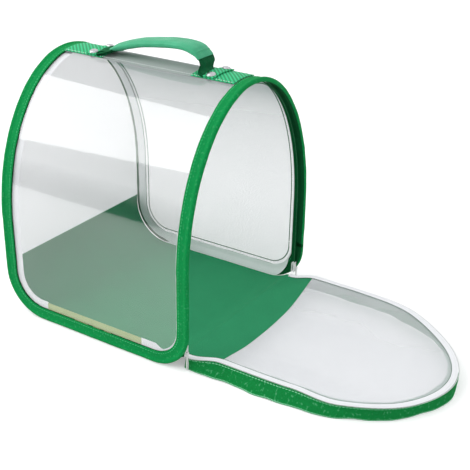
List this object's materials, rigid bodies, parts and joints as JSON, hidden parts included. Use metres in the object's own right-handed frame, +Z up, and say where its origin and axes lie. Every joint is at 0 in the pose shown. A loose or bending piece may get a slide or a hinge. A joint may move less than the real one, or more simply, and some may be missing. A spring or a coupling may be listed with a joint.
{
  "type": "insect cage",
  "caption": "Arched pop-up insect cage with a clear front window, green bound edges, a carrying handle and a zip-round end door lying open",
  "frame": {"origin": "on the ground under the middle of the cage body, on the underside of the floor cloth", "axes": "+X along the ridge towards the door, -Y towards the clear front window, +Z up"},
  "size_m": [0.4907, 0.243, 0.3088],
  "materials": {
    "clear_film": "soft clear vinyl, slightly milky",
    "white_mesh": "fine white mesh",
    "green_tape": "woven green binding tape",
    "floor_cloth": "plain green polyester cloth",
    "green_webbing": "green woven webbing",
    "handle_satin": "smooth green satin sleeve",
    "white_tape": "white woven tape",
    "white_plastic": "white nylon coil",
    "green_plastic": "green nylon coil",
    "white_enamel": "white enamelled die casting",
    "steel": "bright plated steel",
    "olive_film": "see-through yellowish tape",
    "ridge_cloth": "pale grey cloth strip"
  },
  "bodies": {
    "cage_body": {"front_window": "clear_film", "back_panel": "white_mesh", "left_end_panel": "white_mesh", "floor_cloth": "floor_cloth", "ridge_strip": "ridge_cloth", "ridge_webbing_left": "green_webbing", "ridge_webbing_right": "green_webbing", "left_arch_binding": "green_tape", "right_arch_binding": "green_tape", "front_hem_binding": "green_tape", "back_hem_binding": "green_tape", "frame_wire": "steel", "wire_ferrule": "steel", "seam_tape_left": "white_tape", "seam_tape_right": "white_tape", "front_hem_film": "olive_film", "body_zipper_tape": "green_tape", "body_zipper_coil": "green_plastic", "handle_tab_left": "green_tape", "handle_tab_right": "green_tape", "rivet_left_front": "steel", "rivet_left_back": "steel", "rivet_right_front": "steel", "rivet_right_back": "steel", "washer_left_front": "steel", "washer_left_back": "steel", "washer_right_front": "steel", "washer_right_back": "steel"},
    "door": {"door_panel": "white_mesh", "door_apron": "floor_cloth", "door_zipper_tape": "white_tape", "door_zipper_coil": "white_plastic", "door_skirt": "green_tape", "door_hem": "green_tape"},
    "slider_front": {"slider_front": "white_enamel"},
    "slider_back": {"slider_back": "white_enamel"},
    "pull_front": {"pull_front": "white_enamel"},
    "pull_back": {"pull_back": "white_enamel"},
    "handle": {"handle_strap": "green_tape", "handle_sleeve": "handle_satin"}
  },
  "joints": [
    {"name": "door_swing", "type": "hinge", "parent": "cage_body", "child": "door", "pos_m": [0.1105, 0, 0.019], "axis": [0, -1, 0], "range_deg": [0, 90]},
    {"name": "slider_front_slide", "type": "slide", "parent": "cage_body", "child": "slider_front", "axis": [0, 0, 1], "range_m": [0, 0.075]},
    {"name": "slider_back_slide", "type": "slide", "parent": "cage_body", "child": "slider_back", "axis": [0, 0, 1], "range_m": [0, 0.075]},
    {"name": "pull_front_swing", "type": "hinge", "parent": "slider_front", "child": "pull_front", "pos_m": [0.1197, -0.1141, 0.0205], "axis": [0, -1, 0], "range_deg": [0, 170]},
    {"name": "pull_back_swing", "type": "hinge", "parent": "slider_back", "child": "pull_back", "pos_m": [0.1197, 0.1141, 0.0205], "axis": [0, -1, 0], "range_deg": [0, 170]},
    {"name": "handle_lean", "type": "hinge", "parent": "cage_body", "child": "handle", "pos_m": [0, 0, 0.2875], "axis": [1, 0, 0], "range_deg": [-35, 35]}
  ]
}
